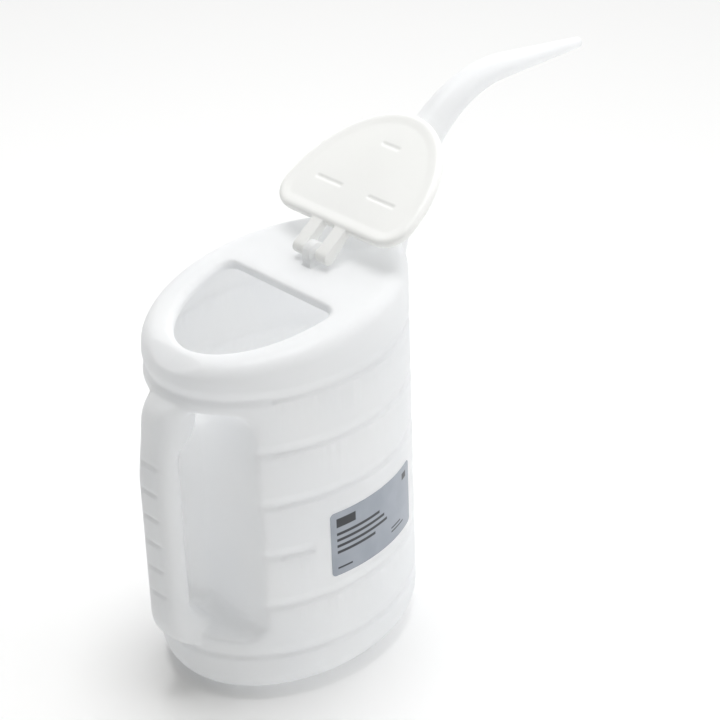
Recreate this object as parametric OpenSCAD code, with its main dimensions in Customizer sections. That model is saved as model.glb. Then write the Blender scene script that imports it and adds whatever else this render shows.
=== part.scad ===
// Coolant filling can: an oval blow-moulded can with a hand hole, a long bent
// spout and a hinged lid, with a bare label on one side.
// Millimetres. +X points to the spout, +Z is up, and the can is symmetric about Y = 0.
// The origin is the centre of the oval base, on the surface that the can stands on.

/* [Body] */
// Length of the oval body from the handle end to the spout end
body_length = 198; // [180:1:220]
// Width of the oval body
body_width = 153; // [140:1:170]
// Height of the slanted top above the middle of the base
top_height = 272; // [262:1:285]
// Slope of the top, which rises towards the spout, in degrees
top_slope = 8.3; // [5:0.1:10]
// Draft of the side, which widens towards the base, in degrees
side_draft = 0.5; // [0:0.1:1]
// Thickness of the moulded wall
wall = 1.7; // [1.4:0.1:2.4]
// Radius of the edge round the base
base_radius = 24; // [16:1:28]
// Radius of the shoulder round the top
shoulder_radius = 11; // [8:0.5:14]

/* [Grooves] */
// Height of the lowest of the six grooves
groove_first = 35.5; // [32:0.5:40]
// Distance from one groove to the next
groove_pitch = 40; // [36:0.5:42]
// Depth of a groove
groove_depth = 1.9; // [1:0.1:3]
// Height of the slope that runs down into a groove
groove_run = 8; // [5:0.5:12]
// Height of the lip below a groove
groove_lip = 3.6; // [2:0.1:6]

/* [Filling opening] */
// Width of the rim between the opening and the handle end
rim_back = 20.5; // [16:0.5:26]
// Width of the rim beside the opening
rim_side = 25.5; // [22:0.5:30]
// Distance of the opening's straight edge in front of the middle
opening_front = 5.3; // [0:0.1:12]
// Radius of the opening's two front corners
opening_corner = 9; // [5:0.5:14]
// Depth of the sloping lip round the opening
lip_drop = 3; // [2:0.1:5]

/* [Hand hole and handle] */
// Distance of the hand hole's flat wall behind the middle
hole_wall = 71.7; // [66:0.1:76]
// Height of the hand hole's floor
hole_floor = 57; // [50:1:64]
// Height of the hand hole's ceiling at the middle
hole_ceiling = 199; // [190:1:205]
// Rise of the ceiling from the middle to the outside
ceiling_rise = 32; // [20:1:40]
// Radius of the hand hole's corners
hole_corner = 8; // [4:0.5:12]
// Gap for the fingers, from the flat wall to the handle
finger_gap = 25.5; // [22:0.5:30]
// Depth of the handle from back to front
handle_depth = 20.5; // [18:0.5:24]
// How far the handle's back leans in towards the body at its top
handle_lean = 6.4; // [0:0.2:8]
// Width of the handle
handle_width = 29; // [24:0.5:34]
// Radius of the handle's corners
handle_corner = 10; // [6:0.5:10]
// Thickness of the handle's wall
handle_wall = 3.6; // [3:0.1:4.5]
// Number of grip notches on the handle's back
notch_count = 6; // [3:1:6]
// Height of the lowest grip notch
notch_first = 87; // [82:1:94]
// Distance from one grip notch to the next
notch_pitch = 20.2; // [16:0.2:21]
// Depth of a grip notch
notch_depth = 2.2; // [1:0.1:2.4]

/* [Spout] */
// Distance of the spout's root behind the front end of the body
spout_setback = 14; // [12:0.5:20]
// Depth of the spout's root below the top
spout_sink = 10.4; // [8:0.2:14]
// Angle at which the neck of the spout rises, in degrees
neck_angle = 46; // [42:1:50]
// How much steeper the root of the spout stands than its neck, in degrees
root_tilt = 20; // [10:1:25]
// Length of the neck
neck_length = 79.2; // [72:0.2:90]
// Radius of the spout's bend
bend_radius = 97; // [86:1:110]
// Angle at which the nose of the spout droops, in degrees
nose_droop = 5.2; // [2:0.1:8]
// Length of the nose
nose_length = 81; // [70:1:110]
// Outer radius of the spout at its root
root_radius = 27; // [23:0.5:28]
// Outer radius of the spout where the bend begins
neck_radius = 12.5; // [12:0.1:14]
// Outer radius of the spout where the bend ends
bend_end_radius = 9; // [8.5:0.1:10]
// Outer radius of the spout at its tip
tip_radius = 4; // [3.8:0.1:5.5]

/* [Lid and hinge] */
// Overlap of the lid at the opening's sides
lid_overlap = 8.4; // [7:0.1:10]
// Overlap of the lid at the opening's front
lid_overlap_front = 11.5; // [9:0.5:13]
// Overlap of the lid at the opening's rear end
lid_overlap_back = 2.5; // [2:0.5:4]
// Distance of the lid's widest line behind the middle
lid_widest = 3; // [0:0.5:12]
// Radius of the lid's two corners beside the hinge
lid_corner = 19; // [8:0.5:22]
// Thickness of the lid
lid_thickness = 7.5; // [6:0.5:8]
// Radius of the lid's edges
lid_edge = 3; // [1:0.1:3]
// Gap between the closed lid and the top
lid_gap = 0.3; // [0.2:0.1:0.6]
// Distance of the hinge axis in front of the opening's straight edge
hinge_offset = 31.5; // [30:0.5:34]
// Height of the hinge axis above the top
hinge_height = 7.5; // [7:0.1:9]
// Thickness of the lug on the can
lug_thickness = 7; // [6:0.5:8]
// Radius of the lug's rounded head
lug_radius = 7.5; // [6.5:0.5:8]
// Width of the gap between the lid's two arms
arm_gap = 11.5; // [10:0.5:13]
// Width of each arm
arm_width = 10; // [8:0.5:12]
// Radius of the arms' rounded ends
arm_radius = 5; // [4.5:0.1:5.5]
// Radius of the two pegs that the lid turns on
peg_radius = 3; // [2.5:0.1:3.5]
// Clearance round the pegs in the lug
peg_clearance = 0.08; // [0.05:0.01:0.1]
// Gap between the open lid and the spout that it leans on
lean_gap = 0.3; // [0.2:0.1:0.6]
// Thickness of the lid's two walls, which enclose a hollow
lid_wall = 1.6; // [1.2:0.1:2]
// Width of the raised rim round the lid's underside
lid_rim = 7; // [4:0.5:10]
// Height of the raised rim
lid_rim_height = 0.8; // [0.4:0.1:1.2]
// Length of the two wide dashes pressed into the lid
dash_wide = 25; // [16:1:28]
// Length of the narrow dash pressed into the lid
dash_narrow = 17; // [12:1:24]
// Width of the dashes
dash_width = 3; // [2:0.5:4]
// Depth of the dashes
dash_depth = 2; // [0.6:0.1:3]

/* [Label] */
// Length of the label along the body's middle line
label_length = 84; // [60:1:90]
// Height of the label
label_height = 50; // [40:1:56]
// Height of the label's lower edge
label_bottom = 89; // [84:1:92]
// Distance of the label's rear edge behind the middle
label_back = 26.5; // [15:0.5:32]
// Thickness of the label
label_thickness = 0.3; // [0.2:0.05:0.5]
// Radius of the label's corners
label_corner = 3; // [2:0.5:6]

/* [Hidden] */
natural = [0.93, 0.95, 0.97];
lid_white = [0.97, 0.97, 0.93];
silver = [0.70, 0.71, 0.72];

segments = 48;
corner_steps = 5;
spout_facets = 24;
groove_count = 6;
half_length = body_length / 2;
half_width = body_width / 2;
draft_base = tan(side_draft) * top_height / 2;
opening_back = half_length - rim_back;
opening_half = half_width - rim_side;
top_groove = groove_first + (groove_count - 1) * groove_pitch;
shoulder_steps = 4;
base_steps = 5;

// Height of the top at a distance x in front of the middle.
function top_z(x) = top_height + x * tan(top_slope);

// How much the side stands out at a height, from its draft.
function draft_at(z) = draft_base - tan(side_draft) * z;

// A smooth step from 0 at a to 1 at b.
function smooth_step(a, b, x) = let (t = min(1, max(0, (x - a) / (b - a)))) t * t * (3 - 2 * t);

// The smooth panel behind the label stops the groove that would cross it.
panel_margin_back = 9;
panel_margin_front = 7;
panel_back = label_back + panel_margin_back;
panel_front = label_length - label_back + panel_margin_front;
panel_fade = 6;
function on_panel(x) = smooth_step(-panel_back - panel_fade, -panel_back, x)
    * (1 - smooth_step(panel_front, panel_front + panel_fade, x));
function groove_crosses_label(g) = g > label_bottom && g < label_bottom + label_height;

// One closed ring of the oval. A share of 1 follows the slanted top instead of a level height.
function oval_ring(z, inset, depth = 0, panel = false, slant = false) = [
    for (i = [0 : segments - 1])
        let (
            a = 360 * i / segments,
            edge = inset - draft_at(z),
            x = (half_length - edge) * cos(a),
            cut = depth * (panel ? 1 - on_panel(x) : 1)
        )
        [(half_length - edge - cut) * cos(a), (half_width - edge - cut) * sin(a),
         slant ? top_z((half_length - edge) * cos(a)) - (top_height - z) : z]
];

// Closed solid through rings that have equal numbers of points, from the lowest to the highest.
module loft(rings) {
    n = len(rings[0]);
    m = len(rings);
    polyhedron(
        points = [for (r = rings) each r],
        faces = concat(
            [[for (i = [0 : n - 1]) i]],
            [for (j = [0 : m - 2], i = [0 : n - 1])
                each [[j * n + i, (j + 1) * n + i, (j + 1) * n + (i + 1) % n],
                      [j * n + i, (j + 1) * n + (i + 1) % n, j * n + (i + 1) % n]]],
            [[for (i = [n - 1 : -1 : 0]) (m - 1) * n + i]]),
        convexity = 8);
}

// The oval body, or its inside when grow is the wall with a minus sign.
module oval_body(grow = 0) {
    inset = -grow;
    floor_z = inset;
    edge_r = base_radius - inset;
    shoulder_r = shoulder_radius - inset;
    loft(concat(
        [for (k = [0 : base_steps])
            let (a = 90 * k / base_steps)
            oval_ring(floor_z + edge_r * (1 - cos(a)), inset + edge_r * (1 - sin(a)))],
        [for (g = [0 : groove_count - 1])
            let (z = groove_first + g * groove_pitch, panel = groove_crosses_label(z))
            each [oval_ring(z - groove_lip, inset),
                  oval_ring(z - groove_lip * 0.3, inset, groove_depth, panel),
                  oval_ring(z + groove_lip * 0.3, inset, groove_depth, panel),
                  oval_ring(z + groove_run, inset)]],
        [for (k = [0 : shoulder_steps])
            let (a = 90 * k / shoulder_steps)
            oval_ring(top_height - shoulder_radius + shoulder_r * sin(a),
                      inset + shoulder_r * (1 - cos(a)), slant = true)]));
}

// The hand hole opens out from the parting plane to both sides, so the moulds can leave it.
hole_outside = half_width + 15;
hole_far = half_length + 60;
wall_draft = 3;
floor_drop = 5;

// Rounded rectangle at a distance from the parting plane, grown all round.
function hole_ring(y, grow) =
    let (
        share = abs(y) / hole_outside,
        near = hole_wall - wall_draft * share + hole_corner,
        low = hole_floor - floor_drop * share + hole_corner,
        high = hole_ceiling + ceiling_rise * share - hole_corner,
        r = hole_corner + grow
    )
    [for (q = [0 : 3], k = [0 : corner_steps])
        let (a = 90 * q + 90 * k / corner_steps)
        [(q < 2 ? -near : -hole_far) + r * sin(a), y, (q == 0 || q == 3 ? high : low) + r * cos(a)]];

module hand_hole(grow = 0) {
    loft([for (y = [-hole_outside, 0, hole_outside]) hole_ring(y, grow)]);
}

// Rounded rectangle at a height, with its back flattened by a grip notch.
function column_ring(z, back, front, half, r, notch = 0) = [
    for (q = [0 : 3], k = [0 : corner_steps])
        let (
            a = 90 * q + 90 * k / corner_steps,
            cx = (front + back) / 2 + ((q == 0 || q == 3) ? 1 : -1) * ((front - back) / 2 - r),
            cy = (q < 2 ? 1 : -1) * (half - r)
        )
        [max(cx + r * cos(a), back + notch), cy + r * sin(a), z]
];

handle_front = -hole_wall - finger_gap;
handle_back = handle_front - handle_depth;
handle_top = top_groove - groove_lip;
handle_top_run = 18;
handle_foot = groove_first + 2;
handle_foot_run = 30;
handle_root = 16;
handle_flare = 3;

// How far the handle's back has moved in towards the oval at a height, from 0 to 1.
function back_curl(z) =
    z > handle_top - handle_top_run
        ? 1 - sqrt(max(0, 1 - pow((z - handle_top + handle_top_run) / handle_top_run, 2)))
    : z < handle_foot + handle_foot_run
        ? 1 - sqrt(max(0, 1 - pow((handle_foot + handle_foot_run - z) / handle_foot_run, 2)))
    : 0;

// How far the handle's front has spread into the body at a height, from 0 to 1.
spread_run = 14;
spread_past = 4;
function front_spread(z) =
    max(smooth_step(hole_floor + spread_run, hole_floor - spread_past, z),
        smooth_step(hole_ceiling - spread_run, hole_ceiling + spread_past, z));

// The handle's ends sink into the body, and its back leans in over a stretch below its top.
handle_sink = 8;
lean_start = 64;
lean_end = 10;
function handle_ring(z, inset = 0, notch = 0) =
    let (
        travel = -half_length + handle_sink - handle_back,
        lean = handle_lean * smooth_step(handle_top - lean_start, handle_top - lean_end, z),
        back = handle_back + lean + (travel - lean) * back_curl(z) + inset,
        front = handle_front + handle_root * front_spread(z) - inset,
        half = handle_width / 2 + handle_flare * front_spread(z) - inset
    )
    column_ring(z, back, front, half, max(2, handle_corner - inset), notch);

// Heights of the handle's rings: round both ends, where the front spreads, and three at each notch.
notch_half = 3;
notches = [for (k = [0 : notch_count - 1]) let (z = notch_first + k * notch_pitch)
    each [[z - notch_half, 0], [z, notch_depth], [z + notch_half, 0]]];
end_heights = concat(
    [for (k = [0 : 5]) handle_foot + handle_foot_run * (1 - cos(18 * k))],
    [hole_floor + spread_run],
    [for (d = [-spread_run, -8, -3, spread_past]) hole_ceiling + d],
    [for (k = [0 : 5]) handle_top - handle_top_run * (1 - sin(18 * k))]);

// The end heights that keep clear of the notches.
function clear_heights() =
    [for (z = end_heights) if (min([for (n = notches) abs(z - n[0])]) > 0.8) [z, 0]];

// Rings sorted by height.
function sorted(v) =
    len(v) < 2 ? v
    : concat(sorted([for (i = [1 : len(v) - 1]) if (v[i][0] < v[0][0]) v[i]]),
             [v[0]],
             sorted([for (i = [1 : len(v) - 1]) if (v[i][0] >= v[0][0]) v[i]]));

module handle_outside() {
    loft([for (h = sorted(concat(notches, clear_heights()))) handle_ring(h[0], 0, h[1])]);
}

// The hollow inside the handle, open to the can at both ends.
hollow_above_foot = 12;
hollow_below_top = 6;
module handle_inside() {
    low = handle_foot + hollow_above_foot;
    high = handle_top - hollow_below_top;
    ends = [for (z = end_heights) if (z > low + 1 && z < high - 1) [z, 0]];
    loft([for (h = sorted(concat([[low, 0], [high, 0]], ends))) handle_ring(h[0], handle_wall)]);
}

// The spout's centre line: a rising neck, a bend and a drooping nose, as points with directions and radii.
root_x = half_length - spout_setback;
root_z = top_z(root_x) - spout_sink;
bend_x = root_x + neck_length * cos(neck_angle);
bend_z = root_z + neck_length * sin(neck_angle);
bend_centre_x = bend_x + bend_radius * sin(neck_angle);
bend_centre_z = bend_z - bend_radius * cos(neck_angle);
nose_x = bend_centre_x + bend_radius * sin(nose_droop);
nose_z = bend_centre_z + bend_radius * cos(nose_droop);
neck_steps = 5;
bend_steps = 6;
nose_steps = 2;
flare_power = 1.5;
root_foot = 8;
spout_stations = concat(
    [[root_x - root_foot * cos(neck_angle + root_tilt), root_z - root_foot * sin(neck_angle + root_tilt),
      neck_angle + root_tilt, root_radius + 1.5]],
    [for (k = [0 : neck_steps - 1])
        let (t = k / neck_steps)
        [root_x + neck_length * t * cos(neck_angle), root_z + neck_length * t * sin(neck_angle),
         neck_angle + root_tilt * pow(1 - t, 2),
         neck_radius + (root_radius - neck_radius) * pow(1 - t, flare_power)]],
    [for (k = [0 : bend_steps])
        let (t = k / bend_steps, a = neck_angle - (neck_angle + nose_droop) * t)
        [bend_centre_x - bend_radius * sin(a), bend_centre_z + bend_radius * cos(a),
         a, neck_radius + (bend_end_radius - neck_radius) * t]],
    [for (k = [1 : nose_steps])
        let (t = k / nose_steps)
        [nose_x + nose_length * t * cos(nose_droop), nose_z - nose_length * t * sin(nose_droop),
         -nose_droop, bend_end_radius + (tip_radius - bend_end_radius) * t]]);

// A ring square to the centre line, at a distance past its station.
function spout_ring(s, inset = 0, past = 0) = [
    for (i = [0 : spout_facets - 1])
        let (t = 360 * i / spout_facets, r = s[3] - inset)
        [s[0] + r * cos(t) * sin(s[2]) + past * cos(s[2]), r * sin(t),
         s[1] - r * cos(t) * cos(s[2]) + past * sin(s[2])]
];

module spout() {
    loft([for (s = spout_stations) spout_ring(s)]);
}

// A cut runs on past the surface that it opens.
past = 2;

// The bore starts above the spout's foot and runs out past the tip, so that the tip is open.
module spout_bore() {
    last = len(spout_stations) - 1;
    loft(concat(
        [for (k = [1 : last - 1]) spout_ring(spout_stations[k], wall)],
        [spout_ring(spout_stations[last], wall, past)]));
}

// Ring of an oval that is cut straight in front, with two round corners beside the cut.
rear_steps = 30;
function blunt_oval(z, middle, a, b, front, r) =
    let (
        cx = front - r,
        start = acos((cx - middle) / a),
        cy = b * sin(start) - r
    )
    concat(
        [for (k = [0 : corner_steps])
            let (t = 90 * k / corner_steps) [cx + r * cos(t), cy + r * sin(t), z]],
        [for (k = [1 : rear_steps - 1])
            let (t = start + (360 - 2 * start) * k / rear_steps)
            [middle + a * cos(t), b * sin(t), z]],
        [for (k = [0 : corner_steps])
            let (t = 270 + 90 * k / corner_steps) [cx + r * cos(t), r * sin(t) - cy, z]]);

// Ring of the filling opening.
function opening_ring(z, grow) =
    blunt_oval(z, 0, opening_back + grow, opening_half + grow, opening_front + grow,
               opening_corner + grow);

// Places its children on the slanted top, with z measured square to it.
module on_top() {
    translate([0, 0, top_height]) rotate([0, -top_slope, 0]) children();
}

// The opening runs straight through the wall below a sloping lip, and flares on above the top.
throat = 6;
module opening_void() {
    on_top()
        loft([opening_ring(-lip_drop - wall - throat, 0),
              opening_ring(-lip_drop, 0),
              opening_ring(past, lip_drop + past)]);
}

// The wall under the sloping lip keeps the inside clear of it.
module opening_rim() {
    on_top()
        loft([opening_ring(-lip_drop - wall, wall * tan(22.5)),
              opening_ring(past, lip_drop + past + wall * sqrt(2))]);
}

// A flat facet across the shoulder at the handle end, for the thumb that lifts the lid.
facet_start = 15.5;
facet_angle = 32;
facet_behind = 60;
facet_before = 20;
facet_above = 40;
module thumb_facet(grow = 0) {
    x = -half_length + facet_start;
    translate([x, 0, top_z(x)])
        rotate([0, -facet_angle, 0])
            translate([-facet_behind, -half_width, -grow])
                cube([facet_behind + facet_before, body_width, facet_above]);
}

// Can, handle and spout are one moulding with one wall all over.
module can_shell() {
    difference() {
        union() {
            difference() {
                oval_body();
                hand_hole();
                thumb_facet();
            }
            handle_outside();
            spout();
        }
        difference() {
            oval_body(-wall);
            hand_hole(wall);
            thumb_facet(wall);
            opening_rim();
        }
        handle_inside();
        spout_bore();
        opening_void();
    }
}

// The hinge axis, square above the top.
axis_foot = opening_front + hinge_offset;
axis_x = axis_foot * cos(top_slope) - hinge_height * sin(top_slope);
axis_z = top_height + axis_foot * sin(top_slope) + hinge_height * cos(top_slope);

// The lug that carries the lid: an upright plate with a round head and a true bore.
module hinge_lug() {
    difference() {
        on_top() translate([axis_foot, 0, 0]) rotate([90, 0, 0]) {
            translate([0, hinge_height, 0])
                cylinder(r = lug_radius, h = lug_thickness, center = true, $fn = 64);
            linear_extrude(lug_thickness, center = true)
                polygon([[-lug_radius, -wall / 2], [lug_radius, -wall / 2],
                         [lug_radius * 0.85, hinge_height], [-lug_radius * 0.85, hinge_height]]);
        }
        translate([axis_x, 0, axis_z]) rotate([90, 0, 0])
            cylinder(r = peg_radius + peg_clearance, h = lug_thickness * 2, center = true, $fn = 64);
    }
}

// A moulding is one closed surface at its own size.
module moulding() {
    resize([0, 0, 0]) children();
}

module can_body() {
    color(natural) {
        moulding() can_shell();
        hinge_lug();
    }
}

// The lid is drawn closed, on the top, and then turned open about the hinge axis.
lid_under = hinge_height - lid_gap;
lid_near = opening_front + lid_overlap_front;
lid_far = opening_back + lid_overlap_back;
lid_half = opening_half + lid_overlap;
lid_reach = axis_foot + lid_far;
dash_front = axis_foot - 49;
dash_rear = axis_foot - 89.5;
dash_side = 24.5;

// The open lid leans back until its outer face is just clear of the spout.
face_offset = lid_under - lid_thickness - lean_gap;
function spout_back(s) = [s[0] - s[3] * sin(s[2]) - axis_x, s[1] + s[3] * cos(s[2]) - axis_z];
function lean_angle(p) =
    norm(p) < lid_reach ? atan2(p[1], p[0]) - asin(face_offset / norm(p)) : 0;
lid_open_angle = max([for (k = [0 : len(spout_stations) - 2], t = [0 : 0.1 : 1])
    lean_angle(spout_back(spout_stations[k]) * (1 - t) + spout_back(spout_stations[k + 1]) * t)]);
lid_turn = 180 + top_slope - lid_open_angle;

// Ring of the lid's outline.
function lid_ring(z, inset = 0) =
    blunt_oval(z, -lid_widest, lid_far - lid_widest - inset, lid_half - inset, lid_near - inset,
               max(0.5, lid_corner - inset));

// The lid's panel, with rounded edges.
lid_round = min(lid_edge, lid_thickness * 0.45);
edge_steps = 3;
module lid_panel() {
    loft(concat(
        [for (k = [0 : edge_steps])
            let (a = 90 * k / edge_steps)
            lid_ring(lid_round * (1 - cos(a)), lid_round * (1 - sin(a)))],
        [for (k = [0 : edge_steps])
            let (a = 90 * k / edge_steps)
            lid_ring(lid_thickness - lid_round * (1 - sin(a)), lid_round * (1 - cos(a)))]));
}

// Outline of a dash with round ends.
function dash_outline(straight, r) = concat(
    [for (k = [0 : 8]) let (t = 22.5 * k) [r * cos(t), straight / 2 + r * sin(t)]],
    [for (k = [0 : 8]) let (t = 180 + 22.5 * k) [r * cos(t), r * sin(t) - straight / 2]]);

// A dash pressed into the underside of the lid, or the solid web above it when it is grown.
module dash(x, y, length, grow = 0) {
    low = grow > 0 ? 0 : -1;
    high = grow > 0 ? lid_thickness : lid_rim_height + dash_depth;
    translate([x, y, low]) linear_extrude(high - low)
        polygon(dash_outline(length - dash_width, dash_width / 2 + grow));
}

module dashes(grow = 0) {
    for (side = [-1, 1])
        dash(dash_front, side * dash_side, dash_wide, grow);
    dash(dash_rear, 0, dash_narrow, grow);
}

// The hollow between the lid's two walls, with a vent between the arms.
vent_radius = 2;
vent_reach = 6;
module lid_hollow() {
    low = lid_rim_height + lid_wall;
    difference() {
        loft([lid_ring(low, lid_round + lid_wall * 0.5),
              lid_ring(lid_thickness - lid_wall, lid_round + lid_wall * 0.5)]);
        dashes(lid_wall);
    }
    translate([lid_near - lid_edge - vent_reach, 0, (lid_thickness + lid_rim_height) / 2])
        rotate([0, 90, 0])
            cylinder(r = vent_radius, h = lid_edge + 2 * vent_reach, $fn = 24);
}

// One arm, from the lid's front edge to the hinge axis.
module lid_arm(side) {
    arm_root = 6;
    inner = arm_gap / 2;
    hull() {
        translate([axis_foot, side * (inner + arm_width / 2), hinge_height - lid_gap])
            rotate([90, 0, 0]) cylinder(r = arm_radius, h = arm_width, center = true, $fn = 48);
        translate([lid_near - arm_root, side * (inner + arm_width / 2), lid_thickness / 2])
            cube([2, arm_width, lid_thickness - 1.5], center = true);
    }
}

// A peg on the inner face of an arm, which turns in the lug.
module lid_peg(side) {
    from = arm_gap / 2 + 1;
    to = lug_thickness * 0.08;
    translate([axis_foot, side * (from + to) / 2, hinge_height - lid_gap])
        rotate([90, 0, 0]) cylinder(r = peg_radius, h = from - to, center = true, $fn = 64);
}

module lid_closed() {
    difference() {
        union() {
            lid_panel();
            for (side = [-1, 1]) {
                lid_arm(side);
                lid_peg(side);
            }
        }
        loft([lid_ring(-1, lid_rim), lid_ring(lid_rim_height, lid_rim)]);
        dashes();
        lid_hollow();
    }
}

module lid() {
    color(lid_white)
        translate([axis_x, 0, axis_z]) rotate([0, lid_turn, 0]) translate([-axis_x, 0, -axis_z])
            on_top() translate([0, 0, lid_gap])
                moulding() lid_closed();
}

// The label is a thin sheet that follows the oval, with rounded corners.
label_gap = 0.05;
label_steps = 24;
function label_x(t) = -label_back + label_length * t;
function label_trim(x) =
    let (d = min(x + label_back, label_length - label_back - x))
    d < label_corner ? label_corner - sqrt(max(0, pow(label_corner, 2) - pow(label_corner - d, 2))) : 0;
function label_point(x, z, lift) =
    let (g = draft_at(z) + lift)
    [x, -(half_width + g) * sqrt(1 - pow(x / (half_length + g), 2)), z];
module label() {
    color(silver)
        loft([for (k = [0 : label_steps])
            let (x = label_x((1 - cos(180 * k / label_steps)) / 2), trim = label_trim(x),
                 low = label_bottom + trim, high = label_bottom + label_height - trim)
            [label_point(x, low, label_gap), label_point(x, high, label_gap),
             label_point(x, high, label_gap + label_thickness),
             label_point(x, low, label_gap + label_thickness)]]);
}

can_body();
lid();
label();
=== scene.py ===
import logging
import math
from contextlib import contextmanager
from dataclasses import dataclass
from enum import Enum
from typing import Callable, Iterator, Sequence

import bmesh
import bpy
from mathutils import Matrix, Vector


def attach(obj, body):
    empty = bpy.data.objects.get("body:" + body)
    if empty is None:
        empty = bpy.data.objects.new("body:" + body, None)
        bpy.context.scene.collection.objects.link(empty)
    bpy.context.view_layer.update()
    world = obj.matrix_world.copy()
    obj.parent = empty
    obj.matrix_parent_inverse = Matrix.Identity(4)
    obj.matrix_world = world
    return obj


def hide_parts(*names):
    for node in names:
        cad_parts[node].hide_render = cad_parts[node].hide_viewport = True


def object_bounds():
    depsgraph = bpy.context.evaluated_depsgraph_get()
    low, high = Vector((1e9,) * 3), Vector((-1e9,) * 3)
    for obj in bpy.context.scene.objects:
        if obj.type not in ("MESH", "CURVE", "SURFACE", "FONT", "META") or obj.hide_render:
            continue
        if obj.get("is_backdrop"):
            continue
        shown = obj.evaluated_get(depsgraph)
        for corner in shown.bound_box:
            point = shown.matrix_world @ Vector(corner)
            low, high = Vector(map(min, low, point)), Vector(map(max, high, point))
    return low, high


# Coolant filling can. Every piece is modelled in millimetres in the frame of the CAD solids,
# and its mesh is brought to metres as the last step.

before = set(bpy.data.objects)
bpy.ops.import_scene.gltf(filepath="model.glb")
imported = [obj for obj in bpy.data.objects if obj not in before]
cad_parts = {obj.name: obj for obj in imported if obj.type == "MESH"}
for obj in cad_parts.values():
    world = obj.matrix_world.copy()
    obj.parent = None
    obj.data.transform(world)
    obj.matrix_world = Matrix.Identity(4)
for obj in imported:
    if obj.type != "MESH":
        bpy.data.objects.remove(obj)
CAD_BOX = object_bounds()
MM = 0.001
OVAL_FACETS = 160
TUBE_FACETS = 48
log = logging.getLogger("filling_can")

Colour = tuple[float, float, float]
Point = tuple[float, float, float]
Piece = bpy.types.Object
Socket = bpy.types.NodeSocket
Material = bpy.types.Material


class Part(Enum):
    """What an edit-mode choice picks."""

    VERTICES = "VERT"
    EDGES = "EDGE"
    FACES = "FACE"


class Side(Enum):
    """A side of the plane Y = 0."""

    RIGHT = -1
    LEFT = 1


# Edit-mode helpers


def nothing() -> None:
    """Deselects every object."""
    bpy.ops.object.select_all(action="DESELECT")


def solo(piece: Piece) -> None:
    """Selects one piece alone and makes it active.

    Args:
        piece: the piece.
    """
    nothing()
    piece.select_set(True)
    bpy.context.view_layer.objects.active = piece


@contextmanager
def editing(piece: Piece, part: Part = Part.VERTICES) -> Iterator[None]:
    """Edit mode on one piece, with nothing selected at the start.

    Args:
        piece: the mesh object to edit.
        part: the selection mode.

    Yields:
        Nothing; the edits are made inside the with block.
    """
    solo(piece)
    bpy.ops.object.mode_set(mode="EDIT")
    bpy.ops.mesh.select_mode(type=part.value)
    bpy.ops.mesh.select_all(action="DESELECT")
    yield
    bpy.ops.object.mode_set(mode="OBJECT")


def choose(part: Part, test: Callable[..., bool]) -> int:
    """Selects the elements of the edited mesh that pass a test, and nothing else.

    Args:
        part: vertices, edges or faces.
        test: called with the vertex's place, the edge's middle and direction,
            or the face's middle and normal.

    Returns:
        The number of elements chosen.
    """
    bpy.ops.mesh.select_mode(type=part.value)
    bpy.ops.mesh.select_all(action="DESELECT")
    data = bpy.context.object.data
    mesh = bmesh.from_edit_mesh(data)
    count = 0
    if part is Part.VERTICES:
        for v in mesh.verts:
            if test(v.co):
                v.select_set(True)
                count += 1
    elif part is Part.EDGES:
        for e in mesh.edges:
            a, b = e.verts[0].co, e.verts[1].co
            if test((a + b) / 2, (b - a).normalized()):
                e.select_set(True)
                count += 1
    else:
        for f in mesh.faces:
            if test(f.calc_center_median(), f.normal):
                f.select_set(True)
                count += 1
    mesh.select_flush_mode()
    bmesh.update_edit_mesh(data)
    return count


def everything() -> None:
    """Selects all of the edited mesh."""
    bpy.ops.mesh.select_all(action="SELECT")


def turn_out() -> None:
    """Turns all faces of the edited mesh outwards."""
    everything()
    bpy.ops.mesh.normals_make_consistent(inside=False)


def extrude(move: Sequence[float]) -> None:
    """Extrudes the selection and moves its new end."""
    bpy.ops.mesh.extrude_region_move(TRANSFORM_OT_translate={"value": move})


def shift(move: Sequence[float]) -> None:
    """Moves the selection."""
    bpy.ops.transform.translate(value=move)


def bevel(offset: float, segments: int, affect: str = "EDGES") -> None:
    """Rounds the selection."""
    bpy.ops.mesh.bevel(offset=offset, segments=segments, affect=affect)


def begin(name: str) -> Piece:
    """Names the new primitive and brings its place and turn into its mesh.

    Args:
        name: the piece's name.

    Returns:
        The active object.
    """
    piece = bpy.context.object
    solo(piece)
    bpy.ops.object.transform_apply(location=True, rotation=True, scale=True)
    piece.name = name
    piece.data.name = name
    return piece


def finish_modifier(piece: Piece, kind: str, **settings: object) -> None:
    """Adds a modifier, sets it and applies it.

    Args:
        piece: the mesh object.
        kind: the modifier's type.
        settings: the modifier's own values.
    """
    solo(piece)
    modifier = piece.modifiers.new(kind.lower(), kind)
    for key, value in settings.items():
        setattr(modifier, key, value)
    bpy.ops.object.modifier_apply(modifier=modifier.name)


def cut_away(piece: Piece, cutter: Piece) -> None:
    """Cuts one closed solid out of another and deletes the cutter."""
    finish_modifier(piece, "BOOLEAN", operation="DIFFERENCE", solver="EXACT", object=cutter)
    bpy.data.objects.remove(cutter, do_unlink=True)


def place(piece: Piece, matrix: Matrix) -> None:
    """Moves a piece by a matrix and applies it to its mesh.

    Args:
        piece: the piece.
        matrix: its new place and turn.
    """
    solo(piece)
    piece.matrix_world = matrix @ piece.matrix_world
    bpy.ops.object.transform_apply(location=True, rotation=True, scale=True)


def weld_and_turn_out(piece: Piece, distance: float = 0.001) -> None:
    """Merges doubled points and turns all faces outwards.

    Args:
        piece: the piece.
        distance: how near two points lie that are merged.
    """
    with editing(piece):
        everything()
        bpy.ops.mesh.remove_doubles(threshold=distance)
        turn_out()


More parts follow.
